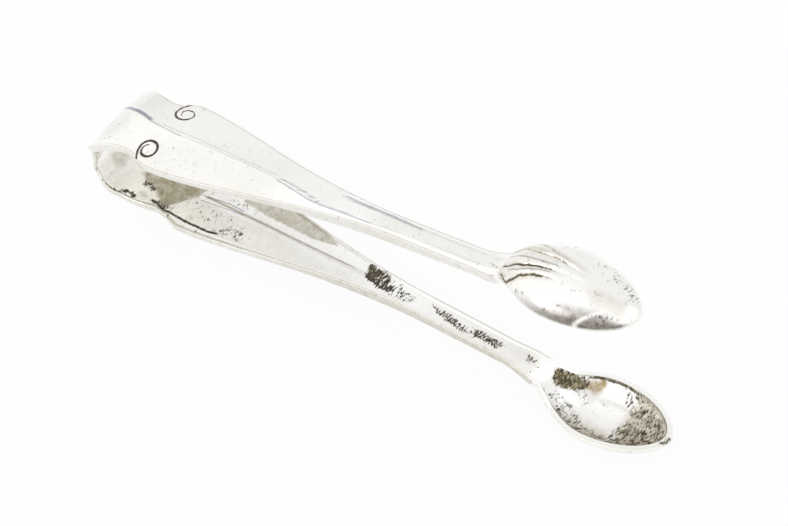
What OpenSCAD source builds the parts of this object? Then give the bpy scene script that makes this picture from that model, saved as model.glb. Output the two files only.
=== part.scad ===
// Ice tongs: a springy bow, two tapering arms and two spoon bowls.
// The tongs are drawn lying level along X, opening up and down about the plane z = 0,
// and are then laid on the lower arm: X along the length, Y across the band, Z up.

/* [Bow] */
// Length of the bow, from its apex to where the arms begin
bow_len = 12.5; // [10:0.5:16]
// Half of the opening between the arms, at the middle of the band
bow_half = 7.8; // [6:0.2:11]
// How round the apex is: a larger value gives a blunter apex
apex_pull = 2.5; // [1.5:0.1:4]
// How far forward the bow starts to turn into the arms
shoulder_pull = 3.9; // [2:0.1:6]
// Half width of the band at the apex
apex_w = 5.7; // [4.5:0.1:6.5]
// Half width of the band at the bulge of the bow
bulge_w = 7.7; // [6.5:0.1:8.5]
// Distance of the bulge from the apex
bulge_at = 6.2; // [4:0.1:7]
// Half width of the waist between the bulge and the seam
waist_w = 6.45; // [5.5:0.05:7]
// Distance of the waist from the apex
waist_at = 15.5; // [13:0.1:17]
// Thickness of the band at the apex
apex_t = 1.1; // [0.9:0.05:1.6]
// Thickness of the band at the end of the bow
bow_t = 1.6; // [1.2:0.1:2.2]
// Place of the flex line along each half of the bow, as a part of its curve
flex_at = 0.52; // [0.4:0.02:0.7]
// How far the ridge leans across the band at the apex
ridge_lean = 3; // [0:0.1:4]

/* [Arms] */
// Distance from the apex to the soldered seam, where the shoulder is notched
seam_at = 18.4; // [17.2:0.2:20]
// Step out of each edge at the seam, from the bow to the arm
notch_step = 0.45; // [0.1:0.05:0.8]
// Half width of the broad shoulder
shoulder_w = 7.9; // [7:0.1:9]
// Distance from the apex to the broadest part of the shoulder
shoulder_at = 21.6; // [20.4:0.2:26]
// Half width of the narrow stem
stem_w = 2.1; // [1.8:0.05:3]
// Distance from the apex to where the taper ends
stem_at = 74; // [68:1:84]
// Distance from the apex to the neck, where the bowl is soldered on
neck_at = 96; // [92:1:104]
// Half width of the small ears at the neck
neck_w = 2.4; // [2:0.05:3.2]
// How far each arm moves out from the end of the bow to the neck
arm_spread = 4.1; // [2:0.1:6]
// Thickness at the edge of the shoulder
shoulder_t = 1.35; // [1:0.05:1.8]
// Thickness at the edge of the stem
stem_t = 2.3; // [1.6:0.1:2.8]
// Distance from the apex to the thickest part of the stem
stem_thick_at = 66; // [58:1:72]
// Thickness at the edge of the neck
neck_t = 1.45; // [1.2:0.05:2]

/* [Ridge and bevels] */
// Height of the ridge above the edges of the band
ridge_h = 0.95; // [0.4:0.05:1.3]
// Height of the flat top of the stem above its edges
stem_top_h = 0.5; // [0.2:0.05:0.9]
// Half width of the flat top of the stem
stem_top_w = 1.3; // [0.8:0.05:1.6]
// Where the ridge begins to part into two bevel lines
part_at = 44; // [36:1:52]
// Depth of the groove inside the band, under the ridge
groove_h = 0.5; // [0:0.05:0.7]
// Size of the softened corner along each edge
edge_soft = 0.22; // [0.1:0.02:0.35]

/* [Bowls] */
// Length of the bowl, from the neck to its tip
bowl_len = 24; // [20:0.5:28]
// Half width of the bowl
bowl_w = 6.6; // [5.5:0.1:7.5]
// Distance from the neck to the broadest part of the bowl
bowl_broad_at = 10.8; // [9:0.2:12]
// Depth of the bowl outside, from the rim to the back
bowl_d = 3.5; // [3:0.1:5]
// Wall thickness of the bowl
bowl_wall = 1; // [0.8:0.05:1.4]
// Width of the flat rim
rim_w = 0.75; // [0.5:0.05:1]
// Thickness of the rim where it meets the back
rim_t = 0.8; // [0.5:0.05:1.1]
// How far the rim lies outward from the inner face of the neck
bowl_drop = 4.1; // [2:0.1:5]
// Length of the curved heel, from the neck to the rim
heel_len = 4.6; // [3.5:0.1:6]
// How far the rim comes back in from the heel to the tip
rim_tilt = 0.7; // [0:0.1:1.5]
// Depth of the flutes that fan over the back from the neck
flute_h = 0.28; // [0:0.02:0.4]

/* [Hidden] */

// shape of the curves
spread_power = 1.85;    // the arms part slowly at first, then faster
taper_power = 0.84;     // below 1, the shoulder tapers early
heel_power = 0.68;      // below 1, the bowl widens soon after the neck
egg_power = 0.57;       // near a half, the tip end is rounded like an egg
back_power = 0.9;       // 1 is an elliptical back, less is a fuller one
tip_drop = 2.4;         // how late the bowl grows shallow toward its tip
tip_fall = 0.7;         // how fast it does so there

// lengths and parts of sizes that the curves share
arm_run = neck_at - bow_len;
apex_inset = 0.15;      // the back of the apex lies this far in from the start of X
line_start = apex_inset + apex_t / 2; // the middle of the band at the apex
notch_run = 2;          // length over which the bow would widen past the seam
ear_len = 6;            // length over which the stem widens into the ears
part_lead = 6;          // length before the parting where the ridge starts to blunt
part_run = 14;          // length after it where the flat top is broadest
ridge_blunt = 0.15;     // half width of the ridge itself
top_swell = 0.3;        // how much broader the flat top is there
apex_ridge = 0.2;       // part of the ridge height left at the apex
part_ridge = 0.6;       // part of the ridge height left at the parting
facet_mid = 0.55;       // height of a facet at its middle, slightly hollow toward the edge
groove_side = 0.45;     // place of the sides of the inner groove, as a part of the half width
groove_part = 0.6;      // depth of the groove there
groove_ends = [0.4, 0.5]; // part of the groove depth at the apex and along the stem
full_from = 0.5;        // distance from the neck where the back begins to fill out
thin_from = 3;          // distance from the neck where the heel begins to thin
hollow_at = 7;          // distance from the neck where the hollow reaches its depth
tip_solid = 2.2;        // length of the solid tip
lip_part = 0.4;         // the hollow is never narrower than this part of the bowl
floor_part = 0.8;       // part of the wall that is kept over the heel
flute_run = [2, 6, 13]; // where the flutes are full, begin to fade and end
flute_turns = 6;        // waves of the flutes over each half turn

// fineness
crown_steps = 12;
leg_steps = 8;
seam_steps = 3;
arm_steps = 34;
bowl_steps = 30;
tip_stop = 0.99;        // the last ring stops just short of the point
across = 16;            // facets over the back of a bowl
inside = 10;            // facets over the inside of a bowl

// ---- plain curves

function clamp01(q) = min(1, max(0, q));

// 0 before a, 1 after b, and a smooth change between them
function ramp(x, a, b) = let (q = clamp01((x - a) / (b - a))) q * q * (3 - 2 * q);

// a value that starts at the first key and moves smoothly to each later [place, value]
function keyed(x, keys) = keys[0][1]
    + sum([for (i = [1 : len(keys) - 1])
        (keys[i][1] - keys[i - 1][1]) * ramp(x, keys[i - 1][0], keys[i][0])]);

function sum(v, i = 0) = i < len(v) ? v[i] + sum(v, i + 1) : 0;

function cubic(t, a, b, c, d) =
    let (u = 1 - t) a * u * u * u + 3 * b * u * u * t + 3 * c * u * t * t + d * t * t * t;

function cubic_slope(t, a, b, c, d) =
    let (u = 1 - t) 3 * (b - a) * u * u + 6 * (c - b) * u * t + 3 * (d - c) * t * t;

// ---- middle line of the upper half: [x, z, slope angle]

function bow_place(t) = let (
    bx = bow_len - shoulder_pull,
    dx = cubic_slope(t, line_start, line_start, bx, bow_len),
    dz = cubic_slope(t, 0, apex_pull, bow_half, bow_half)
) [cubic(t, line_start, line_start, bx, bow_len), cubic(t, 0, apex_pull, bow_half, bow_half), atan2(dz, dx)];

function arm_place(x) = let (q = (x - bow_len) / arm_run)
    [x, bow_half + arm_spread * pow(q, spread_power),
     atan(arm_spread * spread_power * pow(q, spread_power - 1) / arm_run)];

// ---- sizes of the band at a distance x from the apex

function bow_w(x) = keyed(x, [
    [0, apex_w], [bulge_at, bulge_w], [waist_at, waist_w], [seam_at + notch_run, waist_w + notch_step]]);

function taper(x) = pow(clamp01((x - shoulder_at) / (stem_at - shoulder_at)), taper_power);

function arm_w(x) = let (start = bow_w(seam_at) + notch_step)
    start + (shoulder_w - start) * ramp(x, seam_at, shoulder_at)
    - (shoulder_w - stem_w) * ramp(taper(x), 0, 1)
    + (neck_w - stem_w) * ramp(x, neck_at - ear_len, neck_at);

function edge_t(x) = keyed(x, [
    [0, apex_t], [bow_len, bow_t], [seam_at, shoulder_t],
    [part_at, shoulder_t], [stem_thick_at, stem_t], [neck_at, neck_t]]);

function top_h(x) = keyed(x, [
    [0, ridge_h * apex_ridge], [bow_len, ridge_h],
    [part_at, ridge_h * part_ridge], [stem_thick_at, stem_top_h]]);

function top_w(x) = keyed(x, [
    [part_at - part_lead, ridge_blunt], [part_at + part_run, stem_top_w + top_swell], [stem_at, stem_top_w]]);

function lean(x) = ridge_lean * (1 - ramp(x, bulge_at / 2, waist_at));

function groove(x) = keyed(x, [
    [0, groove_h * groove_ends[0]], [seam_at, groove_h], [stem_at, groove_h * groove_ends[1]]]);

// ---- cross section of the band: [across, outward], round from the near edge over the top

function band_section(x, w) = let (
    h = edge_t(x) / 2, c = edge_soft,
    r = top_h(x), b = min(top_w(x), w - 2 * c), y = lean(x), g = groove(x)
) [
    [-w, h - c], [-w + c, h],
    [(-w + y - b) / 2, h + r * facet_mid], [y - b, h + r],
    [y + b, h + r], [(w + y + b) / 2, h + r * facet_mid],
    [w - c, h], [w, h - c], [w, c - h], [w - c, -h],
    [w * groove_side, g * groove_part - h], [0, g - h], [-w * groove_side, g * groove_part - h],
    [-w + c, -h], [-w, c - h]
];

// puts a section on the middle line, at place = [x, z, slope], as points in space
function on_line(place, section, side = 1) = [for (p = section)
    [place[0] - p[1] * sin(place[2]), p[0], side * (place[1] + p[1] * cos(place[2]))]];

function bow_ring(t, side = 1) = let (place = bow_place(t))
    on_line(place, band_section(place[0], bow_w(place[0])), side);
function bow_end_ring(x) = on_line(arm_place(x), band_section(x, bow_w(x)));
function arm_ring(x) = on_line(arm_place(x), band_section(x, arm_w(x)));

// ---- cross section of a bowl, at a distance d from the neck

function bowl_half(d) = d < bowl_broad_at
    ? neck_w + (bowl_w - neck_w) * pow((1 - cos(180 * d / bowl_broad_at)) / 2, heel_power)
    : bowl_w * pow(max(0, 1 - pow(past_broad(d), 2)), egg_power);

function past_broad(d) = max(0, d - bowl_broad_at) / (bowl_len - bowl_broad_at);

neck_place = arm_place(neck_at);
neck_in_x = neck_place[0] + sin(neck_place[2]) * neck_t / 2;
neck_in_z = neck_place[1] - cos(neck_place[2]) * neck_t / 2;

// the plane of the rim, on the inner side of the arm
function rim_z(d) = neck_in_z + bowl_drop * ramp(d, 0, heel_len)
    - rim_tilt * ramp(d, heel_len, bowl_len);

// 0 at the neck, 1 over the broad part, 0 again at the tip
function fullness(d) = ramp(d, full_from, bowl_broad_at)
    * pow(max(0, 1 - pow(past_broad(d), tip_drop)), tip_fall);

// height of the back over the rim, along the middle of the bowl
function back_d(d) = rim_t + (neck_t + stem_top_h - rim_t) * (1 - ramp(d, thin_from, bowl_broad_at))
    + (bowl_d - rim_t) * fullness(d);

function flutes(d, a) = flute_h * ramp(d, 0, flute_run[0]) * (1 - ramp(d, flute_run[1], flute_run[2]))
    * cos(a * flute_turns) * pow(cos(a), 2);

function bowl_section(d) = let (
    w = bowl_half(d), e = rim_t, depth = back_d(d), lip = max(w * lip_part, w - rim_w),
    sunk = (bowl_d - bowl_wall) * fullness(d) - rim_t * (1 - ramp(d, thin_from, hollow_at)),
    hollow = max(edge_soft, sunk * (1 - ramp(d, bowl_len - tip_solid, bowl_len)))
) concat(
    [[-w, edge_soft / 2]],
    [for (k = [0 : across]) let (a = -90 + 180 * k / across)
        [w * sin(a), e + (depth - e) * pow(cos(a), back_power) + flutes(d, a)]],
    [[w, edge_soft / 2]],
    [for (k = [0 : inside]) let (a = 90 - 180 * k / inside)
        [lip * sin(a), min(hollow, depth - bowl_wall * floor_part) * pow(cos(a), back_power)]]
);

function bowl_ring(d) =
    on_line([neck_in_x + d, rim_z(d), neck_place[2] * (1 - ramp(d, 0, heel_len))], bowl_section(d));

// ---- a closed skin through rings of points

module skin(rings) {
    n = len(rings[0]);
    last = (len(rings) - 1) * n;
    polyhedron(
        points = [for (ring = rings) each ring],
        faces = concat(
            [[for (k = [n - 1 : -1 : 0]) k]],
            [for (i = [0 : len(rings) - 2], k = [0 : n - 1]) let (a = i * n + k, b = i * n + (k + 1) % n)
                each [[a, b, a + n], [b, b + n, a + n]]],
            [[for (k = [0 : n - 1]) last + k]]),
        convexity = 6);
}

// ---- the lie of the tongs on a table, on the ridge of the bow and the back of a bowl

function under(ring) = let (z = max([for (p = ring) p[2]])) [for (p = ring) if (p[2] == z) [p[0], z]][0];
bow_under = [
    for (k = [0 : leg_steps]) under(leg_ring(k)),
    for (k = [0 : arm_steps / 2]) under(arm_step_ring(k))];
bowl_under = [for (k = [0 : bowl_steps]) under(bowl_ring(bowl_step(k)))];
rest_slope = max([for (b = bowl_under) min([for (a = bow_under) (b[1] - a[1]) / (b[0] - a[0])])]);
rest_angle = atan(rest_slope);
rest_lift = max([for (p = concat(bow_under, bowl_under)) p[1] * cos(rest_angle) - p[0] * sin(rest_angle)]);
bow_back_x = min([for (k = [-crown_steps : crown_steps], p = crown_ring(k)) along(p)]);
tip_x = max([for (side = [-1, 1], k = [bowl_steps / 2 : bowl_steps], p = bowl_ring(bowl_step(k)))
    along([p[0], p[1], side * p[2]])]);

function along(p) = p[0] * cos(rest_angle) - p[2] * sin(rest_angle);

module lying() translate([-(bow_back_x + tip_x) / 2, 0, rest_lift]) rotate([0, -rest_angle, 0]) children();

// ---- rings of each piece, numbered from the apex to the tip

function crown_ring(k) = bow_ring(flex_at * abs(k) / crown_steps, k < 0 ? -1 : 1);
function leg_ring(k) = bow_ring(flex_at + (1 - flex_at) * k / leg_steps);
function arm_step_ring(k) = arm_ring(seam_at + (neck_at - seam_at) * k / arm_steps);
function bowl_step(k) = let (u = k / bowl_steps) bowl_len * tip_stop * (u + (1 - cos(180 * u)) / 2) / 2;

module half_leg() skin(concat(
    [for (k = [0 : leg_steps]) leg_ring(k)],
    [for (k = [1 : seam_steps]) bow_end_ring(bow_len + (seam_at - bow_len) * k / seam_steps)]));

module half_arm() skin([for (k = [0 : arm_steps]) arm_step_ring(k)]);

module half_bowl() skin([for (k = [0 : bowl_steps]) bowl_ring(bowl_step(k))]);

// ---- pieces

module bow_crown() color("gainsboro") lying() skin([for (k = [-crown_steps : crown_steps]) crown_ring(k)]);

module upper_bow_leg() color("gainsboro") lying() half_leg();

module lower_bow_leg() color("gainsboro") lying() mirror([0, 0, 1]) half_leg();

module upper_arm() color("silver") lying() half_arm();

module lower_arm() color("silver") lying() mirror([0, 0, 1]) half_arm();

module upper_bowl() color("whitesmoke") lying() half_bowl();

module lower_bowl() color("whitesmoke") lying() mirror([0, 0, 1]) half_bowl();

bow_crown();
upper_bow_leg();
lower_bow_leg();
upper_arm();
lower_arm();
upper_bowl();
lower_bowl();
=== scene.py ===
# Bow tongs in old silver: a sprung bow, two ridged arms and two egg-shaped bowls.
import bpy
import numpy as np
from mathutils import Matrix, Vector


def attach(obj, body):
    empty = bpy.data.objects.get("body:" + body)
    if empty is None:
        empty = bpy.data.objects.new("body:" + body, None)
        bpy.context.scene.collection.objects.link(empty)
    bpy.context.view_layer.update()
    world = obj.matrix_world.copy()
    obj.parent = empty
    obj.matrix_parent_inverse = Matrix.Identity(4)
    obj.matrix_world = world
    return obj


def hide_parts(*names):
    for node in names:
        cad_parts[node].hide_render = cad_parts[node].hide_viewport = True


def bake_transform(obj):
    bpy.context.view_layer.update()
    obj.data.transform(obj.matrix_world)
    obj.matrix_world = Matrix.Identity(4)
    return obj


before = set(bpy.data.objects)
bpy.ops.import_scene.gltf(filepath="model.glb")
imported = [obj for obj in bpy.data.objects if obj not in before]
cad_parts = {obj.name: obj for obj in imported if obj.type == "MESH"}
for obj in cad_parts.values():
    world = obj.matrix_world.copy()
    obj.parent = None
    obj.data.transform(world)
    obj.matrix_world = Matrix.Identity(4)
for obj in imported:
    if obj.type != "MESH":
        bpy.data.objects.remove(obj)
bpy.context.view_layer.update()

# Sizes are millimetres in the tongs' own frame: x from the back of the bow, y across the
# band, z the way the arms open. The lower half is the upper one with z turned round.
lie = {"angle": 5.780, "back": -60.373, "lift": 8.259}
sway = {1: -0.4, -1: -0.25, "over": 110}  # how far each arm has been bent to the near side
raggedEdge = 0.06


def ramp(x, a, b):
    q = np.clip((x - a) / (b - a), 0, 1)
    return q * q * (3 - 2 * q)


def keyed(x, keys):
    # starts at the first value and moves smoothly to each later one
    value = keys[0][1] + 0 * x
    for (a, old), (b, new) in zip(keys[:-1], keys[1:]):
        value = value + (new - old) * ramp(x, a, b)
    return value


def onTable(points, side):
    # tilts the tongs' own frame so that they lie on the lower arm, and goes to metres
    angle = np.radians(lie["angle"])
    x, y, z = points[..., 0], points[..., 1], side * points[..., 2]
    return 0.001 * np.stack([x * np.cos(angle) - z * np.sin(angle) + lie["back"], y,
                             x * np.sin(angle) + z * np.cos(angle) + lie["lift"]], axis=-1)


def blobs(x, y, spots):
    # largest of soft ellipses, each 1 - distance squared, as (x, y, half length, half width, strength, lean)
    value = 0 * x
    for cx, cy, rx, ry, strength, lean in spots:
        away = ((x - cx) / rx) ** 2 + ((y - cy - lean * (x - cx)) / ry) ** 2
        value = np.maximum(value, strength * np.clip(1.25 - away, 0, 1))
    return value


def patches(x, y, shapes):
    # inside of convex corners, going round against the clock, as (strength, soft edge, corners);
    # the distance to the nearest side wavers by a sum of two sines
    value = 0 * x
    for strength, soft, corners in shapes:
        inside = 1e3 + 0 * x
        for (ax, ay), (bx, by) in zip(corners, corners[1:] + corners[:1]):
            off = (bx - ax) * (y - ay) - (by - ay) * (x - ax)
            inside = np.minimum(inside, off / np.hypot(bx - ax, by - ay))
        ragged = raggedEdge * (np.sin(4.1 * x + 1.7 * y) + np.sin(3.3 * y - 2.3 * x + 1))
        value = np.maximum(value, strength * ramp(inside + ragged, -soft, soft))
    return value


def trails(x, y, lines):
    # thin lines that run along x, as (strength, half width, points), with 1 - distance squared across
    value = 0 * x
    for strength, half, points in lines:
        px, py = np.array(points).T
        away = (y - np.interp(x, px, py)) / half
        ends = ramp(x, px[0] - half, px[0] + 2 * half) * (1 - ramp(x, px[-1] - 2 * half, px[-1] + half))
        value = np.maximum(value, strength * ends * np.clip(1.2 - away * away, 0, 1))
    return value


def skin(name, loops, side, layers, slot):
    # loops is rows x points x 3; each row is a closed loop, and both ends get a flat fan;
    # y moves by the sway times the square of x
    rows, count = loops.shape[:2]
    index = np.arange(rows * count).reshape(rows, count)
    turned = np.roll(index, -1, axis=1)
    quads = np.stack([index[:-1], turned[:-1], turned[1:], index[1:]], axis=-1).reshape(-1, 4)
    ends = []
    for row, flip in ((0, True), (rows - 1, False)):
        middle = np.full(count, rows * count + len(ends))
        fan = np.stack([index[row], turned[row], middle], axis=-1)
        ends.append(fan[:, ::-1] if flip else fan)
    points = np.concatenate([loops.reshape(-1, 3), loops[0].mean(0)[None], loops[-1].mean(0)[None]])
    faces = quads.tolist() + ends[0].tolist() + ends[1].tolist()
    if side < 0:
        faces = [f[::-1] for f in faces]
    points[:, 1] += sway[side] * (points[:, 0] / sway["over"]) ** 2
    mesh = bpy.data.meshes.new(name)
    mesh.from_pydata(onTable(points, side).tolist(), [], faces)
    mesh.polygons.foreach_set("use_smooth", np.ones(len(mesh.polygons), bool))
    mesh.update()
    mesh.set_sharp_from_angle(angle=0.7)
    for layer, values in layers.items():
        full = np.concatenate([values.ravel(), values[0].mean()[None], values[-1].mean()[None]])
        mesh.attributes.new(layer, "FLOAT", "POINT").data.foreach_set("value", full.astype(np.float32))
    piece = bpy.data.objects.new(name, mesh)
    bpy.context.scene.collection.objects.link(piece)
    piece.data.materials.append(metals[slot])
    print(name, rows, "x", count, "lowest", round(1000 * min(v.co.z for v in mesh.vertices), 2))
    return piece


# the band: its middle line, its width and its cross section

bow = {"length": 12.5, "half": 7.8, "start": 0.7, "apexPull": {1: 2.5, -1: 3.5}, "shoulderPull": 3.9,
       "arch": 0.55, "archHalf": 5.7, "archEnds": {1: 5.0, -1: 2.6},
       "fuller": {1: 0.0, -1: 0.15}, "waist": {1: 0.0, -1: 0.035}}
arm = {"seam": 18.4, "neck": 96, "spread": 4.1, "power": 1.85, "shoulder": 7.9, "shoulderAt": 21.6,
       "stem": 2.1, "stemAt": 74, "ears": 2.65, "taper": 0.84, "join": 16.2, "bendAt": 91, "bend": 1.1}


def bowLine(t, side=1):
    # cubic curve from the apex to the shoulder: x, z and slope
    u = 1 - t
    x0, x2, x3 = bow["start"], bow["length"] - bow["shoulderPull"], bow["length"]
    pull = bow["apexPull"][side]
    x = x0 * u ** 3 + 3 * x0 * u * u * t + 3 * x2 * u * t * t + x3 * t ** 3
    z = 3 * pull * u * u * t + 3 * bow["half"] * u * t * t + bow["half"] * t ** 3
    dx = 6 * (x2 - x0) * u * t + 3 * (x3 - x2) * t * t
    dz = 3 * pull * u * u + 6 * (bow["half"] - pull) * u * t
    return x, z, np.arctan2(dz, dx)


def armLine(x):
    # z = half + spread * q ^ power, with q the part of the arm behind x, and a bend outwards at the end
    q = np.clip((x - bow["length"]) / (arm["neck"] - bow["length"]), 0, None)
    run = arm["neck"] - bow["length"]
    end = np.clip((x - arm["bendAt"]) / (arm["neck"] - arm["bendAt"]), 0, None)
    z = bow["half"] + arm["spread"] * q ** arm["power"] + arm["bend"] * end * end
    rise = arm["spread"] * arm["power"] * q ** (arm["power"] - 1) / run
    return x, z, np.arctan(rise + 2 * arm["bend"] * end / (arm["neck"] - arm["bendAt"]))


def bandWidth(x):
    # half width: bulge of the bow, waist, a sharp step at the seam, broad shoulder, long taper, ears
    bowHalf = keyed(x, [(0, 5.7), (6.2, 7.7), (15.5, 6.4), (20.4, 6.95)])
    taper = np.clip((x - arm["shoulderAt"]) / (arm["stemAt"] - arm["shoulderAt"]), 0, 1) ** arm["taper"]
    swell = 7.0 + (arm["shoulder"] - 7.0) * np.clip(ramp(x, arm["seam"] - 1.2, arm["shoulderAt"]), 0, 1)
    armHalf = (swell - (arm["shoulder"] - arm["stem"]) * ramp(taper, 0, 1)
               + (arm["ears"] - arm["stem"]) * ramp(x, 90, arm["neck"]))
    step = ramp(x, arm["seam"] - 0.12, arm["seam"] + 0.1)
    return bowHalf * (1 - step) + armHalf * step


def edgeThickness(x):
    return keyed(x, [(0, 1.1), (12.5, 1.6), (18.4, 1.35), (44, 1.35), (66, 2.3), (96, 1.45)])


def crownHeight(x):
    return keyed(x, [(0, 0.19), (12.5, 0.95), (44, 0.57), (66, 0.5)])


def ridge(x):
    # the near and far edge of the flat top: a blunt ridge that swings to the near side
    # and opens out on the stem
    middle = keyed(x, [(2, 2.6), (15.5, 0.45), (34, 0.5), (48, 0.0)])
    near = middle - 0.14 + keyed(x, [(45, 0), (58.5, -1.75), (70, -1.25)])
    far = middle + 0.14 + keyed(x, [(47, 0), (60, 1.35), (80, 1.0)])
    return near, far


band = {"soft": [(0, 0.42), (14, 0.34), (19, 0.26), (60, 0.24)], "lip": [(10, 0.1), (16, 0.2), (60, 0.12)],
        "lipAt": [(10, 0.7), (17, 1.15), (28, 1.0), (40, 0.6)], "groove": 0.1, "grooveHalf": 0.5,
        "facetRows": 56, "crown": 0.12}


def bandSection(x):
    # one closed loop: near facet, flat top, far facet, far wall, inner face, near wall
    w, h, r = bandWidth(x), edgeThickness(x) / 2, crownHeight(x)
    near, far = ridge(x)
    c = keyed(x, band["soft"])
    level = (w - c - far) / (w - c - near)  # the far edge first lies in the plane of the far facet
    rFar = r * (1 - (1 - level) * ramp(x, 42, 48) * (1 - ramp(x, 58, 64)))
    facet = np.concatenate([np.linspace(0, 0.985, band["facetRows"]), [0.995]])
    quarter = np.radians(np.linspace(0, 90, 6))
    across, height = [], []

    def put(y, n):
        across.append(y)
        height.append(n)

    for u in facet:
        put(-w + c + (near + w - c) * u, h + r * (u + band["crown"] * u * (1 - u)))
    for u in np.linspace(0, 1, 9):
        put(near + (far - near) * u, h + r + (rFar - r) * u + 0.03 * (far - near) * u * (1 - u))
    for u in facet[::-1]:
        put(w - c - (w - c - far) * u, h + rFar * (u + band["crown"] * u * (1 - u)))
    for a in quarter[1:]:
        put(w - c + c * np.sin(a), h - c + c * np.cos(a))
    for u in np.linspace(0, 1, 5)[1:-1]:
        put(w, (h - c) * (1 - 2 * u))
    for a in quarter:
        put(w - c + c * np.cos(a), c - h - c * np.sin(a))
    inner = np.concatenate([np.linspace(1, 0.7, 16)[1:], np.linspace(0.7, 0.25, 12)[1:],
                            np.linspace(0.25, 0, 14)[1:]])
    inner = np.concatenate([inner[:-1], -inner[::-1]])
    lipAt, lip = keyed(x, band["lipAt"]), keyed(x, band["lip"])
    for u in inner:
        y = (w - c) * u
        away = np.abs(y)
        dent = lip * ramp(w - away, lipAt * 0.75, lipAt * 1.25)
        vee = band["groove"] * (1 - ramp(away, 0.1, band["grooveHalf"]))
        vee = vee * ramp(x, 19, 23) * (1 - ramp(x, 52, 62))
        put(y, dent + vee - h)
    for a in quarter[::-1]:
        put(-w + c - c * np.cos(a), c - h - c * np.sin(a))
    for u in np.linspace(1, 0, 5)[1:-1]:
        put(-w, (h - c) * (1 - 2 * u))
    for a in quarter[::-1][:-1]:
        put(-w + c - c * np.sin(a), h - c + c * np.cos(a))
    return np.stack(across, axis=1), np.stack(height, axis=1)


def carry(line, across, height):
    # sets each cross section square to the middle line
    x, z, slope = [v[:, None] for v in line]
    return np.stack([x - height * np.sin(slope), across, z + height * np.cos(slope)], axis=-1)


# engraving: a volute on each side of the ridge, with a tail from the notch

scroll = {"start": 188, "squash": 0.84, "depth": 0.1, "half": 0.25,
          "near": {"ink": 1.0, "middle": (19.6, -4.4), "drift": (0.0, -0.3),
                   "tail": (19.2, -7.55), "turn": 437,
                   "radii": [(0, 2.0), (240, 1.9), (340, 1.3), (437, 1.22)],
                   "width": [(0, 1.0), (280, 1.1), (350, 0.9), (437, 0.45)]},
          "far": {"ink": 0.75, "middle": (19.97, 5.0), "drift": (0.43, -0.1),
                  "tail": (19.5, 7.4), "turn": 428,
                  "radii": [(0, 2.0), (190, 1.9), (270, 1.15), (428, 1.0)],
                  "width": [(0, 1.0), (120, 1.05), (205, 0.8), (222, 0.3), (250, 0.7), (428, 0.5)]}}


def scrollPath(part, sign):
    # the radius falls through the listed turns while the middle drifts; the tail bows out from the notch
    turn = np.linspace(0, part["turn"], 230)
    a = np.radians(scroll["start"] - turn)
    r = np.interp(turn, *np.array(part["radii"]).T)
    share = turn / part["turn"]
    x = part["middle"][0] + part["drift"][0] * share + r * np.cos(a)
    y = part["middle"][1] + part["drift"][1] * share - sign * scroll["squash"] * r * np.sin(a)
    u = np.linspace(0, 1, 60)[:-1]
    tx = part["tail"][0] + (x[0] - part["tail"][0]) * np.sin(0.5 * np.pi * u)
    ty = part["tail"][1] + (y[0] - part["tail"][1]) * u
    width = np.concatenate([np.full(59, 1.0), np.interp(turn, *np.array(part["width"]).T)])
    return np.concatenate([tx, x]), np.concatenate([ty, y]), width * scroll["half"]


def engraving(x, y):
    # 1 on the cut line and 0 beside it, from the distance to the nearest point of the volute
    value = np.zeros_like(y)
    for part, sign in ((scroll["near"], -1), (scroll["far"], 1)):
        px, py, half = scrollPath(part, sign)
        for row in np.where((x[:, 0] > 16) & (x[:, 0] < 23.5))[0]:
            away = np.hypot(x[row, :, None] - px, y[row, :, None] - py) / half
            value[row] = np.maximum(value[row], part["ink"] * np.clip(1.35 - away.min(-1) ** 2, 0, 1))
    return value


# the bowls: an egg-shaped outline on a curved heel, with reeds over the back

bowl = {"length": 23.6, "broad": 6.35, "broadAt": 10.8, "flareAt": 1.0, "deep": 3.35,
        "drop": 4.1, "heel": 4.6, "tilt": 0.7, "rim": 0.8, "rimThick": 0.8, "wall": 1.0,
        "corner": 0.2, "backPoints": 121, "rimPoints": 9, "hollowPoints": 81}
neckLine = armLine(np.array(96.0))
neckSlope = float(neckLine[2])
neckX = 96 + 0.725 * np.sin(neckSlope)
neckZ = float(neckLine[1]) - 0.725 * np.cos(neckSlope)


def bowlHalf(d, inset=0.0):
    # ears, then a quarter of a sine to the broadest part, then an egg-shaped end
    flare = np.clip((d - bowl["flareAt"]) / (bowl["broadAt"] - bowl["flareAt"]), 0, 1)
    heel = arm["ears"] + (bowl["broad"] - arm["ears"]) * np.sin(0.5 * np.pi * flare)
    q = np.clip((d - bowl["broadAt"]) / (bowl["length"] - inset - bowl["broadAt"]), 0, 1)
    return np.maximum((heel - inset) * np.clip(1 - q * q, 0, 1) ** 0.56, 0.004)


def rimPlane(d):
    # the heel carries on the slope of the arm and levels out, then the rim falls a little to the tip
    q = np.clip(d / bowl["heel"], 0, 1)
    heel = (bowl["drop"] - arm["bend"]) * ramp(q, 0, 1) + np.tan(neckSlope) * bowl["heel"] * q * (1 - q) ** 2
    return neckZ + heel - bowl["tilt"] * ramp(d, bowl["heel"], bowl["length"])


def fill(d, start):
    # 0 at the neck, 1 over the broad part and 0 at the tip
    q = np.clip((d - bowl["broadAt"]) / (bowl["length"] - bowl["broadAt"]), 0, 1)
    return ramp(d, start, bowl["broadAt"] - 1.5) * np.clip(1 - q ** 2.5, 0, 1) ** 0.65


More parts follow.
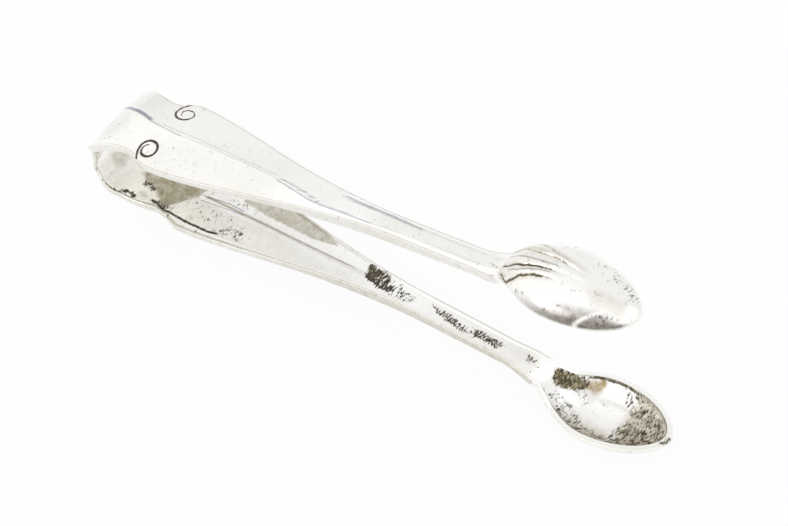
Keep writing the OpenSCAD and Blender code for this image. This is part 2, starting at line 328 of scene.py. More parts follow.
reed = {"depth": 0.24, "rise": {1: 0.28, -1: 0.12}, "half": 0.17,
        "far": {"inner": [(96, 1.0), (99, 1.5), (102, 1.45), (105.2, 1.6), (108, 1.35), (111, 1.1)],
                "outer": [(98, 2.4), (100.6, 3.7), (102.8, 3.05), (105, 2.45), (110.4, 1.8)],
                "fade": (106.5, 112), "dark": 0.38, "film": 0.3},
        "near": {"inner": [(95.5, 0.75), (99.3, 1.6), (101.4, 1.55), (102.6, 1.2), (104, 0.85),
                           (106.2, 0.5), (108, 0.35)],
                 "outer": [(97.6, 2.4), (99.6, 3.9), (100.6, 3.65), (102.1, 2.9), (104.1, 2.3),
                           (106.5, 1.8)],
                 "fade": (104.0, 109.0), "dark": 0.85, "film": 0.22}}


def reeds(x, y, side):
    # two grooves on each side run in to the middle of the back. The height is a low dome inside the
    # inner groove, half a sine between the two and a bell-shaped cut along each; the darkness
    # follows the cuts, and the film is a wider bell beside them
    away = np.abs(y)
    rise, dark, film = 0, 0, 0
    for key, here in (("far", y > 0), ("near", y <= 0)):
        inner, outer = keyed(x, reed[key]["inner"]), keyed(x, reed[key]["outer"])
        fade = here * ramp(x, 96.6, 98.2) * (1 - ramp(x, *reed[key]["fade"]))
        t = np.clip((away - inner) / (outer - inner), 0, 1)
        crest = np.where(away < inner, 0.12 * (1 - (away / inner) ** 2), 0.16 * np.sin(np.pi * t))
        raised = reed["rise"][side] * (1 - ramp(away, outer - 0.1, outer + 0.4))
        cut = np.exp(-((away - inner) / reed["half"]) ** 2) + np.exp(-((away - outer) / reed["half"]) ** 2)
        rise = rise + fade * (crest * (away < outer) + raised - reed["depth"] * cut)
        dark = dark + reed[key]["dark"] * fade * cut
        film = film + reed[key]["film"] * fade * (np.exp(-((away - inner - 0.15) / 0.4) ** 2)
                                                  + np.exp(-((away - outer - 0.15) / 0.4) ** 2))
    return rise, dark, film


def bowlSection(d):
    # one closed loop: back of the bowl, far rim, hollow, near rim
    w, e, c = bowlHalf(d), keyed(d, [(0, 1.2), (4, bowl["rimThick"])]), bowl["corner"]
    c = np.minimum(c, 0.3 * w)
    back = keyed(d, [(0, 1.95), (3, 2.3)]) * (1 - ramp(d, 3, 9)) + ramp(d, 3, 9) * e
    back = np.maximum(back + (bowl["deep"] - e) * fill(d, 1.5), e + 0.12)
    blend = ramp(d, 0.4, 4.5)
    power = keyed(d, [(2, 1.1), (9, 0.56)])
    across, height = [], []
    for a in np.radians(np.linspace(-90, 90, bowl["backPoints"])):
        u = np.sin(a)
        y = np.abs(u) * w
        stem = 1.45 + 0.5 * (1 - np.clip((y - 1.3) / np.maximum(w - 1.5, 0.1), 0, 1))
        stem = stem - c + np.sqrt(np.clip(c * c - np.clip(y - w + c, 0, c) ** 2, 0, None))
        dome = e + (back - e) * (1 - min(u * u, 1)) ** power
        across.append(w * u)
        height.append(stem * (1 - blend) + dome * blend)
    lip = np.clip(bowlHalf(d, keyed(d, [(0, 0.5), (5, bowl["rim"])])), 0.02, None)
    lip = np.minimum(lip, w - 1.2 * c)
    deep = keyed(d, [(0, 0.16), (2.5, 0.3)]) + (bowl["deep"] - bowl["wall"]) * fill(d, 1.2)
    deep = np.minimum(deep, back - 0.55) * ramp(lip, 0, 1.4)
    quarter = np.radians(np.linspace(0, 90, 5))
    for a in quarter:
        across.append(w - c + c * np.cos(a))
        height.append(c - c * np.sin(a))
    for u in np.linspace(0, 1, 5)[1:]:
        across.append(w - c + (lip + 0.001 - w + c) * u)
        height.append(0.02 * np.sin(np.pi * u) + 0 * w)
    for a in np.radians(np.linspace(90, -90, bowl["hollowPoints"])):
        across.append(lip * np.sin(a))
        height.append(deep * np.cos(a) ** 1.15)
    for u in np.linspace(1, 0, 5)[:-1]:
        across.append(-w + c - (lip + 0.001 - w + c) * u)
        height.append(0.02 * np.sin(np.pi * u) + 0 * w)
    for a in quarter[::-1]:
        across.append(-w + c - c * np.cos(a))
        height.append(c - c * np.sin(a))
    return np.stack(across, axis=1), np.stack(height, axis=1)


# silver, worn and tarnished, with painted shade and painted reflections

def link(tree, source, target):
    tree.links.new(source, target)


def node(tree, kind, **values):
    made = tree.nodes.new(kind)
    for name, value in values.items():
        if name in made.inputs:
            made.inputs[name].default_value = value
        else:
            setattr(made, name, value)
    return made


def noise(tree, place, scale, detail, rough=0.55):
    made = node(tree, "ShaderNodeTexNoise")
    made.inputs["Scale"].default_value = scale
    made.inputs["Detail"].default_value = detail
    made.inputs["Roughness"].default_value = rough
    link(tree, place, made.inputs["Vector"])
    return made.outputs["Fac"]


def spread(tree, value, low, high, toLow=0.0, toHigh=1.0):
    made = node(tree, "ShaderNodeMapRange")
    made.interpolation_type = "SMOOTHSTEP"
    for key, number in (("From Min", low), ("From Max", high), ("To Min", toLow), ("To Max", toHigh)):
        made.inputs[key].default_value = number
    link(tree, value, made.inputs["Value"])
    return made.outputs["Result"]


def maths(tree, kind, a, b):
    made = node(tree, "ShaderNodeMath", operation=kind)
    for socket, value in zip(made.inputs, (a, b)):
        if isinstance(value, (int, float)):
            socket.default_value = value
        else:
            link(tree, value, socket)
    return made.outputs[0]


def tint(tree, share, under, over):
    made = node(tree, "ShaderNodeMix", data_type="RGBA")
    link(tree, share, made.inputs[0])
    for socket, value in ((made.inputs[6], under), (made.inputs[7], over)):
        if isinstance(value, tuple):
            socket.default_value = (*value, 1)
        else:
            link(tree, value, socket)
    return made.outputs[2]


def silver(name, look):
    # bright metal under a thin film of stain and painted shade (its layer times noise), a grey painted
    # shade, painted reflection and dulling (its layer times mottle), broken tarnish (grain + 0.3 layer
    # "tarnish" above a threshold, brown to black by the grain) and dark cuts (layer "mark" times grain); the
    # relief is fine lines and mottle less the tarnish
    made = bpy.data.materials.new(name)
    made.use_nodes = True
    tree = made.node_tree
    shader = tree.nodes["Principled BSDF"]
    place = node(tree, "ShaderNodeTexCoord").outputs["Object"]
    layer = {k: node(tree, "ShaderNodeAttribute", attribute_name=k).outputs["Fac"]
             for k in ("mark", "tarnish", "stainAndShade", "haze")}
    broad = noise(tree, place, look["patch"], 3)
    mottle = noise(tree, place, look["mottle"], 5, 0.6)
    stroked = node(tree, "ShaderNodeMapping")
    stroked.inputs["Scale"].default_value = look["strokes"]
    link(tree, place, stroked.inputs["Vector"])
    speck = noise(tree, stroked.outputs["Vector"], 1.0, 3, 0.55)
    # the film of stain and painted shade: the layer itself, more or less by the two noises
    both = maths(tree, "ADD", maths(tree, "MULTIPLY", mottle, 0.6), maths(tree, "MULTIPLY", speck, 0.4))
    uneven = spread(tree, both, 0.36, 0.64, 0.75, 1.15)
    film = maths(tree, "MINIMUM", maths(tree, "MULTIPLY", maths(tree, "ADD", layer["stainAndShade"], spread(
        tree, broad, 0.4, 0.75, 0.0, look["veil"])), uneven), 1.0)
    grain = maths(tree, "ADD", maths(tree, "MULTIPLY", mottle, 0.4), maths(tree, "MULTIPLY", speck, 0.6))
    black = spread(tree, maths(tree, "ADD", grain, maths(tree, "MULTIPLY", layer["tarnish"], 0.3)),
                   look["blackFrom"], look["blackTo"])
    cut = spread(tree, maths(tree, "MULTIPLY", layer["mark"],
                             spread(tree, grain, 0.35, 0.6, 0.55, 1.2)), 0.15, 0.65)
    haze = maths(tree, "MULTIPLY", layer["haze"], spread(tree, mottle, 0.3, 0.65, 0.85, 1.06))
    colour = tint(tree, spread(tree, broad, 0.35, 0.68), look["bright"], look["soft"])
    colour = tint(tree, film, colour, look["film"])
    colour = tint(tree, haze, colour, look["haze"])
    colour = tint(tree, black, colour,
                  tint(tree, spread(tree, grain, 0.44, 0.6), look["brown"], look["black"]))
    colour = tint(tree, cut, colour, look["cut"])
    link(tree, colour, shader.inputs["Base Color"])
    darkened = maths(tree, "MAXIMUM", maths(tree, "MULTIPLY", black, 0.75), cut)
    link(tree, maths(tree, "SUBTRACT", 1.0, maths(tree, "MULTIPLY", darkened, 0.9)), shader.inputs["Metallic"])
    rough = maths(tree, "ADD", spread(tree, mottle, 0.3, 0.7, look["rough"] * 0.8, look["rough"] * 1.2),
                  maths(tree, "MULTIPLY", maths(tree, "MAXIMUM", film, darkened), 0.25))
    link(tree, rough, shader.inputs["Roughness"])
    drawn = node(tree, "ShaderNodeMapping")
    drawn.inputs["Scale"].default_value = (160, 2600, 2600)
    link(tree, place, drawn.inputs["Vector"])
    lines = noise(tree, drawn.outputs["Vector"], 1.0, 3)
    relief = maths(tree, "ADD", maths(tree, "MULTIPLY", lines, 0.35), maths(tree, "MULTIPLY", mottle, 0.6))
    relief = maths(tree, "SUBTRACT", relief, maths(tree, "MULTIPLY", black, 0.7))
    bump = node(tree, "ShaderNodeBump")
    bump.inputs["Strength"].default_value = look["bump"]
    bump.inputs["Distance"].default_value = 0.00005
    link(tree, relief, bump.inputs["Height"])
    link(tree, bump.outputs["Normal"], shader.inputs["Normal"])
    return made


# the film colour is olive for stains and for the painted reflection of the upper arm on the lower one; the
# grey colour of the painted shade and reflections is blue-grey on the band and warm dark on the bowls
plate = {"patch": 55, "mottle": 900, "strokes": (3600, 1500, 1500), "bright": (0.985, 0.979, 0.958),
         "soft": (0.965, 0.952, 0.915), "veil": 0.07, "film": (0.22, 0.17, 0.03), "haze": (0.33, 0.34, 0.40),
         "black": (0.03, 0.025, 0.013), "brown": (0.11, 0.085, 0.045), "cut": (0.045, 0.03, 0.014),
         "blackFrom": 0.60, "blackTo": 0.72, "rough": 0.2, "bump": 0.35}
bowlPlate = {**plate, "haze": (0.19, 0.165, 0.14), "film": (0.3, 0.2, 0.03), "cut": (0.10, 0.075, 0.03),
             "brown": (0.22, 0.18, 0.09), "blackFrom": 0.57, "blackTo": 0.76}
metals = {"bow_silver": silver("silver of the bow", plate),
          "arm_silver": silver("silver of the arms", plate),
          "bowl_silver": silver("silver of the bowls", bowlPlate)}


# the band pieces: two halves of the bow and two arms, each with its worn and tarnished places, its painted
# shade and its painted reflections

outside = 2 * (band["facetRows"] + 1) + 9  # columns of the outer face, which come first in each row

wearAndShade = {
    "lowerBlack": [(0.95, 0.4, [(59.6, 2.5), (60.2, -0.3), (62.4, -0.9), (62.6, 2.0)]),
                   (0.72, 0.5, [(60.0, 2.6), (60.5, -0.4), (64.0, -1.4), (66.0, -1.0), (65.0, 1.8)]),
                   (0.5, 0.4, [(64.0, 1.9), (65.0, -1.6), (70.5, -1.3), (71.0, 0.3)]),
                   (0.6, 0.4, [(74.0, 0.7), (75.5, -0.3), (81.0, -1.3), (82.5, -0.4), (78.5, 0.8)]),
                   (0.5, 0.3, [(80.5, -1.3), (84.0, -1.4), (84.5, -0.2), (81.0, 0.2)]),
                   (0.64, 0.4, [(82.8, 0.6), (83.5, -0.9), (88.5, -1.0), (89.5, 0.3), (86.0, 0.9)]),
                   (0.5, 0.5, [(92.5, 1.2), (93.0, -0.2), (96.5, 0.0), (96.0, 1.2)]),
                   (0.2, 1.0, [(14.0, -5.0), (30.0, -5.8), (37.0, -4.6), (33.0, -1.0), (20.0, -1.5)]),
                   (0.45, 0.5, [(29.0, -5.4), (35.0, -5.0), (34.5, -2.8), (31.0, -2.8)]),
                   (0.8, 0.4, [(6.8, -7.0), (9.8, -6.6), (9.6, -5.7), (7.4, -5.9)]),
                   (0.12, 0.3, [(3.4, -6.4), (3.9, -6.4), (4.4, -1.6), (3.8, -1.6)]),
                   (0.7, 0.3, [(5.0, -7.3), (6.2, -7.3), (6.0, -6.8), (5.2, -6.8)]),
                   (0.6, 0.4, [(12.5, -5.4), (14.5, -5.8), (19.5, -5.2), (17.0, -4.4), (13.0, -4.6)]),
                   (0.62, 0.4, [(9.0, -3.6), (12.0, -3.4), (12.0, -2.4), (9.0, -2.4)]),
                   (0.3, 0.6, [(26.0, 1.6), (33.0, 0.9), (33.5, 2.2), (28.0, 2.8)])],
    # painted reflection of the upper arm's underside and painted shade, olive, on the inner face of the
    # lower half
    "lowerPaintedReflection": [(0.64, 0.35, [(12.3, -3.4), (16.0, -5.7), (19.5, -4.9), (20.5, -0.4), (22.5, 1.8),
                                 (12.0, 2.5)]),
                   (0.6, 0.5, [(7.6, -1.5), (9.5, -3.0), (12.8, -3.2), (13.0, 2.4), (8.0, 1.0)]),
                   (0.5, 0.2, [(29.0, 2.6), (36.4, 1.95), (47.0, 1.85), (52.0, 2.7), (45.0, 5.5),
                               (30.0, 6.0)]),
                   (0.3, 0.5, [(2.0, -2.6), (3.9, -3.6), (4.4, -0.8), (2.6, 0.2)])],
    "lowerTan": [(25.0, -1.0, 12.0, 5.0, 0.06, 0), (44.0, -1.0, 16.0, 4.5, 0.06, 0),
                 (93.5, 0.4, 4.0, 1.4, 0.07, 0), (57.0, -1.0, 5.0, 2.0, 0.08, 0),
                 (10.5, -5.0, 1.2, 0.6, 0.2, 0.0)],
    "lowerMiddle": [(0.16, 0.5, [(29.0, 0.3), (43.0, 0.15), (62.0, 0.0)])],
    "lowerLines": [(0.8, 0.3, [(12.4, -5.05), (16.3, -5.7), (22.5, -6.05), (28.0, -5.9), (30.2, -5.4)]),
                   (0.5, 0.2, [(1.6, -6.1), (3.0, -6.6), (6.0, -7.2), (9.5, -7.1)])],
    # painted reflections: grey lines along the middle of the lower inner face
    "lowerReflectionLines": [(0.8, 0.16, [(22.0, 0.3), (24.8, 0.65), (27.3, 0.9), (31.0, 0.85)]),
                  (0.7, 0.15, [(21.4, -0.9), (23.6, -0.6), (28.2, -0.15), (31.5, 0.1)]),
                  (0.12, 0.18, [(31.0, 0.6), (36.0, 0.45), (43.0, 0.5), (52.0, 0.4), (60.0, 0.3)]),
                  (0.12, 0.18, [(31.0, -0.1), (36.5, -0.2), (43.0, -0.15), (52.0, -0.2), (60.0, -0.1)])],
    # painted reflections: a dark strip along the crown's ridge and grey lines beside the ridges and bevels
    "upperReflectionLines": [(1.0, 0.42, [(2.0, 3.0), (6.0, 2.3), (10.0, 1.45), (13.5, 1.1), (16.0, 0.6)]),
                  (0.6, 0.16, [(15.5, 0.45), (19.5, 0.25), (24.0, 0.1)]),
                  (0.5, 0.12, [(18.5, 0.8), (24.0, 0.85)]),
                  (0.32, 0.12, [(24.0, 0.2), (32.0, 0.35), (38.0, 0.3), (46.0, -0.05)]),
                  (0.32, 0.12, [(24.0, 0.85), (32.0, 0.9), (42.0, 0.65), (47.0, 0.5)]),
                  (0.7, 0.13, [(47.5, -0.4), (52.8, -1.2), (55.9, -1.75), (59.0, -1.9), (63.0, -1.75),
                               (70.0, -1.5)]),
                  (0.75, 0.13, [(48.0, 0.1), (50.1, -0.05), (54.3, -0.6), (57.9, -1.4), (59.0, -1.85)]),
                  (0.3, 0.12, [(70.0, -1.5), (78.0, -1.2), (92.0, -1.15)]),
                  (0.75, 0.27, [(61.5, 1.4), (65.0, 1.2), (72.0, 1.1), (79.0, 0.75)]),
                  (0.2, 0.15, [(79.0, 0.75), (92.0, 0.95)]),
                  (0.15, 0.12, [(61.0, 2.45), (70.0, 2.0), (80.0, 1.75)])],
    "upperDull": [(7.0, -2.5, 5.0, 3.6, 0.13, 0), (8.0, 4.5, 6.0, 3.0, 0.08, 0)],
    "upperBlack": [(0.12, 2.0, [(2.0, -5.0), (9.0, -6.0), (11.0, 0.0), (3.0, 2.0)]),
                   (0.07, 1.5, [(24.0, -6.5), (31.0, -5.8), (31.0, -2.5), (25.0, -3.0)])],
    # painted shade: grey bands across the inner face of the bow where it bends
    "lowerShadeBands": [(0.17, 0.5, [(3.7, -6.6), (4.1, -6.6), (4.7, -1.8), (4.2, -1.8)]),
                   (0.12, 0.4, [(5.2, -6.4), (5.5, -6.4), (6.1, -2.0), (5.7, -2.0)])],
    "upperTan": [(0.07, 1.5, [(68.0, -1.7), (96.5, -2.4), (96.5, 2.4), (72.0, 1.8)])],
    "upperLines": [(0.6, 0.2, [(93.3, -0.4), (94.6, -0.9), (96.2, -1.5)]), (0.45, 0.16, [(92.6, 0.3),
                                                                                         (94.4, 0.5),
                                                                                         (96.2, 1.1)])],
    "notch": [(18.35, -6.9, 0.28, 0.7, 1.0, 0)],
    "edge": 0.5, "wall": {1: 0.16, -1: 0.28}, "inside": 0.02,
    "bead": {"strength": 0.4, "half": 0.13, "near": 0.5, "bow": 0.25},
}


def bandLayers(x, y, cut, side):
    # the inner face of the lower half and the outer face of the upper one carry their own stains; the lower
    # inner face also carries a painted reflection of the upper arm and painted shade, the upper outer face
    # painted reflections along its ridges and bevels; the walls and the outer edges carry a thin film, a
    # bell across the edge
    inner = np.zeros_like(x)
    inner[:, outside:] = 1
    gap = bandWidth(x) - np.abs(y)
    wall = inner * (1 - ramp(gap, 0.2, 0.34))
    edge = wearAndShade["edge"] * np.exp(-((gap - keyed(x, band["soft"]) * 0.8) / 0.12) ** 2) * (1 - inner)
    if side < 0:
        black = patches(x, y, wearAndShade["lowerBlack"]) * (inner - wall)
        # the olive patches are a painted reflection of the upper arm and painted shade; the tan blobs are
        # stains
        stainAndShade = np.maximum(patches(x, y, wearAndShade["lowerPaintedReflection"]), blobs(x, y, wearAndShade["lowerTan"]))
        stainAndShade = np.maximum(stainAndShade, trails(x, y, wearAndShade["lowerMiddle"]))
        line = wearAndShade["bead"]
        bead = (np.exp(-((gap - line["near"]) / line["half"]) ** 2) * (y < 0) * (1 - ramp(x, 30, 60))
                + np.exp(-((gap - line["bow"]) / line["half"]) ** 2) * (x < 14))
        stainAndShade = np.maximum(stainAndShade, line["strength"] * bead) * (inner - wall)
        # painted reflection lines along the middle and painted shade bands in the bow
        haze = np.maximum(trails(x, y, wearAndShade["lowerReflectionLines"]), patches(x, y, wearAndShade["lowerShadeBands"]))
        haze = haze * (inner - wall)
        cut = np.maximum(cut, trails(x, y, wearAndShade["lowerLines"]) * (inner - wall))
        cut = np.maximum(cut, 0.6 * blobs(x, y, wearAndShade["notch"]) * inner)
    else:
        black = patches(x, y, wearAndShade["upperBlack"]) * (1 - inner)
        stainAndShade = wearAndShade["inside"] * (inner - wall) + patches(x, y, wearAndShade["upperTan"]) * (1 - inner)
        # painted reflections along the ridges and bevels, and duller grey patches on the crown
        haze = np.maximum(trails(x, y, wearAndShade["upperReflectionLines"]), blobs(x, y, wearAndShade["upperDull"]))
        haze = haze * (1 - inner)
        cut = np.maximum(cut, trails(x, y, wearAndShade["upperLines"]) * (1 - inner))
    stainAndShade = stainAndShade + wearAndShade["wall"][side] * wall * keyed(x, [(30, 0.8), (60, 1.3)]) + edge
    return {"mark": cut, "tarnish": black, "stainAndShade": stainAndShade, "haze": haze}


def bandPiece(name, line, side, slot):
    # the sections carried along the line, with y stretched where the bow is fuller, and the crown's
    # edges arched: x moves by the square of the share of the half width, less and less up the bow
    across, height = bandSection(line[0])
    flat = across
    fuller = (1 + bow["fuller"][side] * ramp(line[1], 0, 2.4) * (1 - ramp(line[0], 2.8, 8.0))
              + bow["waist"][side] * ramp(line[0], 14, 16.8) * (1 - ramp(line[0], 17, 18.3)))
    cut = np.zeros_like(across)
    x = np.repeat(line[0][:, None], outside, axis=1)
    cut[:, :outside] = engraving(x, across[:, :outside])
    height = height - scroll["depth"] * cut
    loops = carry(line, across * fuller[:, None], height)
    layers = bandLayers(loops[..., 0], flat, cut, side)
    fade = 1 - ramp(line[1], 0, bow["archEnds"][side])
    loops[..., 0] += bow["arch"] * (flat / bow["archHalf"]) ** 2 * fade[:, None]
    return skin(name, loops, side, layers, slot)


straight = armLine(np.linspace(12.5, arm["join"], 38)[1:])
bowRows = {side: [np.concatenate(pair) for pair in zip(bowLine(np.linspace(0, 1, 150), side), straight)]
           for side in (1, -1)}
armRows = armLine(np.concatenate([np.arange(arm["join"], 17.9, 0.1), np.arange(17.9, 18.9, 0.05),
                                  np.arange(18.9, 23, 0.1), np.arange(23, 40, 0.4),
                                  np.arange(40, 95.8, 0.6), [96.0]]))

lowerBow = bandPiece("lower_half_bow", bowRows[-1], -1, "bow_silver")
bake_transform(lowerBow)
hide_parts("lower_bow_leg", "bow_crown")
upperBow = bandPiece("upper_half_bow", bowRows[1], 1, "bow_silver")
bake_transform(upperBow)
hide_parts("upper_bow_leg")

lowerArm = bandPiece("lower_arm_strip", armRows, -1, "arm_silver")
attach(lowerArm, "lower_half")
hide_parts("lower_arm")
upperArm = bandPiece("upper_arm_strip", armRows, 1, "arm_silver")
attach(upperArm, "upper_half")
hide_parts("upper_arm")
print("bow and arms made")


# the bowl pieces

bowlWearAndShade = {
    "hollowBlack": [(0.92, 0.5, [(97.6, 0.5), (98.7, -0.3), (101.8, 2.0), (102.4, 3.9), (99.4, 3.4),
                                 (97.6, 2.2)]),
                    (0.4, 0.7, [(98.0, -2.2), (100.8, -4.0), (105.0, -5.3), (105.0, -2.6),
                                (101.0, -0.4), (99.5, 0.0)]),
                    (0.45, 0.5, [(103.5, -5.2), (111.0, -5.4), (110.5, -3.6), (103.6, -2.6)]),
                    (0.58, 0.8, [(109.5, -4.6), (115.0, -4.6), (119.2, -1.8), (119.4, 0.8),
                                 (116.0, 3.2), (111.5, 1.6), (109.8, -1.6)]),
                    (0.5, 0.5, [(109.0, 3.2), (112.0, 1.2), (117.5, 2.0), (113.0, 5.0), (108.2, 5.2)]),
                    (0.3, 0.5, [(100.5, 1.6), (103.5, -0.2), (104.2, 1.0), (102.5, 2.4)])],
    "hollowTan": [(0.75, 0.4, [(101.6, 2.6), (104.0, 2.7), (105.2, 4.4), (104.4, 5.2), (102.0, 3.9)]),
                  (0.32, 1.2, [(98.0, -3.4), (105.0, -6.2), (112.0, -6.2), (110.0, -2.4), (103.5, -2.0)]),
                  (0.52, 1.2, [(109.5, -6.0), (119.5, -3.0), (119.8, 1.0), (112.0, 6.0), (109.0, 6.0),
                               (110.5, 0.0)])],
    # painted reflections: grey lines along the reeds' crests
    "backCrestReflections": [(0.6, 0.16, [(97.0, 0.3), (100.3, -0.3), (103.3, 0.0), (106.8, 0.3)]),
                   (0.55, 0.16, [(98.8, -2.4), (100.9, -2.5), (102.8, -1.9), (104.5, -1.4),
                                 (106.2, -1.0)])],
    "hollowLines": [(0.62, 0.16, [(101.8, 4.1), (103.2, 4.75), (104.5, 5.15), (106.8, 5.45),
                                  (108.6, 5.45), (111.6, 4.95)])],
    "backBlack": [(0.42, 0.35, [(110.2, 3.9), (111.8, 3.9), (112.0, 4.5), (110.3, 4.4)]),
                  (0.36, 0.7, [(113.3, 3.4), (116.0, 2.0), (118.6, 0.8), (119.2, 1.6), (116.5, 3.6),
                               (114.0, 4.4)]),
                  (0.18, 0.6, [(112.0, -0.6), (114.5, -2.4), (116.0, -1.8), (113.2, 0.2)]),
                  (0.3, 0.5, [(108.5, -5.3), (113.0, -4.6), (113.0, -3.9), (109.0, -4.6)]),
                  (0.32, 0.4, [(112.9, -5.4), (116.0, -4.6), (118.9, -2.2), (118.2, -1.9), (114.4, -3.4)]),
                  (0.35, 0.4, [(102.0, -5.4), (103.8, -5.6), (103.8, -4.8), (102.0, -4.8)])],
    "rimBlack": [(0.7, 0.2, [(119.0, -1.6), (120.4, -1.2), (120.4, 0.2), (119.4, 0.0)]),
                 (0.6, 0.2, [(99.2, -4.6), (99.9, -5.0), (100.1, -4.5), (99.4, -4.0)])],
    # lip: film on the hollow's rim edges; the darkening: strengths of the painted shade on the back's near
    # edge and of the grey darkening at the lower bowl's neck
    "lip": 0.45, "darkened": {"haze": 0.95, "heel": 0.55, "rise": 0.45, "film": 0.15, "neck": 0.5},
    "backTan": [(0.17, 0.6, [(112.0, -0.8), (114.0, -2.6), (118.4, -1.8), (118.0, 0.2), (114.0, 0.2)]),
                (0.1, 0.8, [(96.5, -2.0), (101.0, -4.0), (106.0, -2.0), (106.0, 2.0), (101.0, 3.6),
                            (96.5, 2.0)])],
}


def underShadeMask(x, y):
    # painted shade and reflection on the near edge of the back, from the heel on: 1 at the edge, falling to
    # 0 over a width that grows and then shrinks along x, with a bell-shaped bright scrape across it
    edge = bowlHalf(x - neckX) + y
    share = 1 - ramp(edge, 0.0, (1.3 + 1.5 * ramp(x, 103, 113)) * (1.02 - ramp(x, 114.5, 119.6)))
    scrape = np.exp(-((x - 113.4 - 0.95 * (y + 5.0)) / 0.3) ** 2)
    return (y < 0) * share * ramp(x, 101, 108) * (1 - ramp(x, 118.3, 119.6)) * (1 - scrape)


def bowlPiece(name, side, slot):
    # sections carried along the rim's plane, closer together at the neck and towards the tip, with
    # the reeds added to the back
    a, tip = np.linspace(0, 0.5 * np.pi, 150), bowl["length"]
    d = np.unique(np.concatenate([np.linspace(0, 12, 110), tip * np.sin(a),
                                  tip - 0.6 * np.linspace(1, 0, 14) ** 2]))
    d = d[np.concatenate([[True], np.diff(d) > 0.02])]
    d[-1] = tip - 0.004
    across, height = bowlSection(d)
    backEnd = bowl["backPoints"]
    hollowStart = backEnd + bowl["rimPoints"]
    hollowEnd = hollowStart + bowl["hollowPoints"]
    back = across[:, :backEnd]
    x = neckX + d[:, None] + 0 * back
    rise, cut, film = reeds(x, back, side)
    height[:, :backEnd] += rise
    slope = neckSlope * (1 - ramp(d, 0, bowl["heel"]))
    loops = carry((neckX + d, rimPlane(d), slope), across, height)
    marks, outer, hollow = [np.zeros_like(across) for k in range(3)]
    marks[:, :backEnd] = cut
    outer[:, :backEnd] = 1
    hollow[:, hollowStart:hollowEnd] = 1
    own, y = loops[..., 0], across
    marks = np.maximum(marks, trails(own, y, bowlWearAndShade["hollowLines"]) * hollow * (side < 0))
    if side < 0:
        black, tan = [patches(own, y, bowlWearAndShade[k]) * hollow for k in ("hollowBlack", "hollowTan")]
        black += patches(own, y, bowlWearAndShade["rimBlack"]) * (1 - outer)
        tan[:, [hollowStart, hollowStart + 1, hollowEnd - 2, hollowEnd - 1]] += bowlWearAndShade["lip"]
        tan[:, hollowEnd + 5] += bowlWearAndShade["lip"]
        # a grey darkening over the dark patch at the neck
        darkened = bowlWearAndShade["darkened"]["neck"] * patches(own, y, bowlWearAndShade["hollowBlack"][:1]) * hollow
    else:
        black, tan = [patches(own, y, bowlWearAndShade[k]) * outer for k in ("backBlack", "backTan")]
        # painted shade and reflection along the near edge of the back
        darkened = underShadeMask(own, y) * outer
        tan[:, :backEnd] += film
    darkenLevels = bowlWearAndShade["darkened"]
    # the darkening turns to grey painted shade, and painted reflections line the reeds' crests on the back
    haze = darkenLevels["haze"] * darkened * (darkenLevels["heel"] + darkenLevels["rise"] * ramp(own, 104, 113))
    haze = np.maximum(haze, trails(own, y, bowlWearAndShade["backCrestReflections"]) * outer * (side > 0))
    layers = {"mark": marks, "tarnish": black, "stainAndShade": tan + darkenLevels["film"] * darkened, "haze": haze}
    return skin(name, loops, side, layers, slot)


lowerBowl = bowlPiece("lower_egg_bowl", -1, "bowl_silver")
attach(lowerBowl, "lower_half")
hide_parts("lower_bowl")
upperBowl = bowlPiece("upper_egg_bowl", 1, "bowl_silver")
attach(upperBowl, "upper_half")
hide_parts("upper_bowl")
print("bowls made")


# floor, light and camera

scene = bpy.context.scene
scene.view_settings.view_transform = "Standard"
studio = {"floor": 1.2, "floorShow": 0.9, "front": 1.08, "back": 0.905, "key": 0.35, "side": 0.2}

floorMesh = bpy.data.meshes.new("floor")
half = studio["floor"]
floorMesh.from_pydata([(-half, -half, 0), (half, -half, 0), (half, half, 0),
                       (-half, half, 0)], [], [(0, 1, 2, 3)])
floor = bpy.data.objects.new("floor", floorMesh)
scene.collection.objects.link(floor)
paper = bpy.data.materials.new("white paper")
paper.use_nodes = True
tree = paper.node_tree
tree.nodes.clear()
path = node(tree, "ShaderNodeLightPath")
seen = maths(tree, "MAXIMUM", path.outputs["Is Camera Ray"], path.outputs["Is Glossy Ray"])
seen = maths(tree, "MAXIMUM", seen, path.outputs["Is Transmission Ray"])
matt = node(tree, "ShaderNodeBsdfDiffuse", Color=(0.9, 0.9, 0.9, 1))
glow = node(tree, "ShaderNodeEmission", Color=(1, 1, 1, 1), Strength=1.0)
mixed = node(tree, "ShaderNodeMixShader")
link(tree, maths(tree, "MULTIPLY", seen, studio["floorShow"]), mixed.inputs[0])
link(tree, matt.outputs[0], mixed.inputs[1])
link(tree, glow.outputs[0], mixed.inputs[2])
link(tree, mixed.outputs[0], node(tree, "ShaderNodeOutputMaterial").inputs["Surface"])
floorMesh.materials.append(paper)

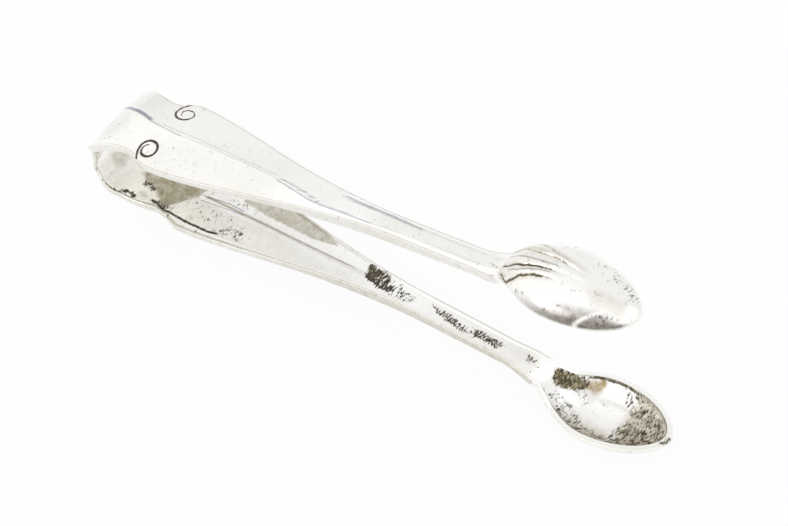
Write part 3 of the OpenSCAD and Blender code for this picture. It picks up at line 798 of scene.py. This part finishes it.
# the sky is white to the eye; in reflections it is white in front and overhead and greyer behind
world = bpy.data.worlds.new("soft room")
scene.world = world
world.use_nodes = True
tree = world.node_tree
tree.nodes.clear()
path = node(tree, "ShaderNodeLightPath")
way = node(tree, "ShaderNodeTexCoord").outputs["Generated"]
split = node(tree, "ShaderNodeSeparateXYZ")
link(tree, way, split.inputs[0])
front = spread(tree, split.outputs["Y"], -0.05, 0.6, studio["front"], studio["back"])
sky = node(tree, "ShaderNodeBackground", Color=(1, 1, 1, 1))
unseen = maths(tree, "SUBTRACT", 1.0, path.outputs["Is Camera Ray"])
level = maths(tree, "ADD", maths(tree, "MULTIPLY", front, unseen), path.outputs["Is Camera Ray"])
link(tree, level, sky.inputs["Strength"])
link(tree, sky.outputs[0], node(tree, "ShaderNodeOutputWorld").inputs["Surface"])


def lamp(name, place, size, watts):
    light = bpy.data.lights.new(name, "AREA")
    light.size = size
    light.energy = watts
    made = bpy.data.objects.new(name, light)
    scene.collection.objects.link(made)
    aim = (Vector((0, 0, 0)) - Vector(place)).to_track_quat("-Z", "Y")
    made.matrix_world = Matrix.Translation(place) @ aim.to_matrix().to_4x4()


lamp("front lamp", (-0.25, -0.45, 0.5), 0.35, studio["key"])
lamp("side lamp", (0.4, 0.3, 0.6), 0.4, studio["side"])

# the camera's directions in the tongs' own frame, turned with them onto the table
view = {"right": (0.7536, 0.6062, -0.2540), "down": (0.3413, -0.6911, -0.6371),
        "ahead": (-0.5618, 0.3934, -0.7278), "place": (225.51, -109.46, 201.98), "lens": 78.62}
camera = bpy.data.objects.new("camera", bpy.data.cameras.new("camera"))
camera.data.lens = view["lens"]
camera.data.sensor_width = 36
camera.data.clip_start = 0.01
scene.collection.objects.link(camera)
scene.camera = camera
angle = np.radians(lie["angle"])
turn = np.array([[np.cos(angle), 0, -np.sin(angle)], [0, 1, 0], [np.sin(angle), 0, np.cos(angle)]])
axes = turn @ np.array([view["right"], -np.array(view["down"]), -np.array(view["ahead"])]).T
where = onTable(np.array(view["place"]), 1)
pose = np.eye(4)
pose[:3, :3] = axes
pose[:3, 3] = where
camera.matrix_world = Matrix(pose.tolist())
